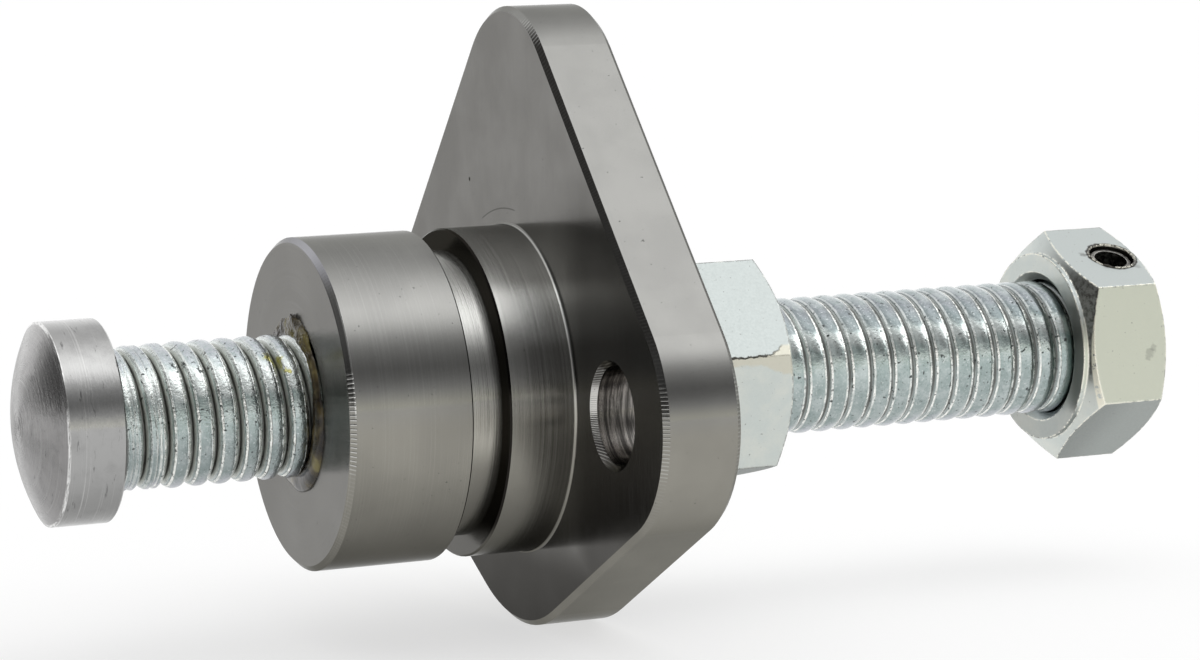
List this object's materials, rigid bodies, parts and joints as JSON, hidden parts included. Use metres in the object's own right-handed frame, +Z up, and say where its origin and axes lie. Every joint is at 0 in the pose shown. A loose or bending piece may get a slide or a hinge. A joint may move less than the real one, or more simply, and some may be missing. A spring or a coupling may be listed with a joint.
{
  "type": "cam chain tensioner",
  "caption": "manual cam chain tensioner: flanged round housing with a long threaded adjuster, swivelling domed pusher tip, hexagon lock nut and pinned hexagon head",
  "frame": {"origin": "on the adjuster's axis, in the flange's mating face", "axes": "+X along the adjuster from the pusher tip to the pinned head, +Y across the two bolts, +Z up to the flange's apex"},
  "size_m": [0.0812, 0.0496, 0.0417],
  "materials": {
    "body_metal": "machined and ground, semi-gloss",
    "sealant": "glossy cured bead",
    "tip_metal": "bright turned",
    "zinc_steel": "bright zinc plate",
    "nut_steel": "satin zinc plate",
    "pin_steel": "dark spring steel"
  },
  "bodies": {
    "housing": {"tensioner_body": "body_metal", "thread_sealant": "sealant"},
    "tip": {"pusher_tip": "tip_metal"},
    "screw": {"adjuster_stud": "zinc_steel", "head_nut": "nut_steel", "spring_pin": "pin_steel"},
    "lock": {"jam_nut": "nut_steel"}
  },
  "joints": [
    {"name": "advance", "type": "slide", "parent": "housing", "child": "tip", "axis": [-1, 0, 0], "range_m": [-0.0128, 0.0225]},
    {"name": "spin", "type": "hinge", "parent": "tip", "child": "screw", "pos_m": [0, 0, 0], "axis": [-1, 0, 0], "range_deg": [-2903, 5103]},
    {"name": "lock_nut_turn", "type": "hinge", "parent": "housing", "child": "lock", "pos_m": [0.0095, 0, 0], "axis": [1, 0, 0], "range_deg": [0, 360]}
  ],
  "couplings": [
    {"joint": "spin", "follows": "advance", "rad_per_m": 3957.9}
  ]
}
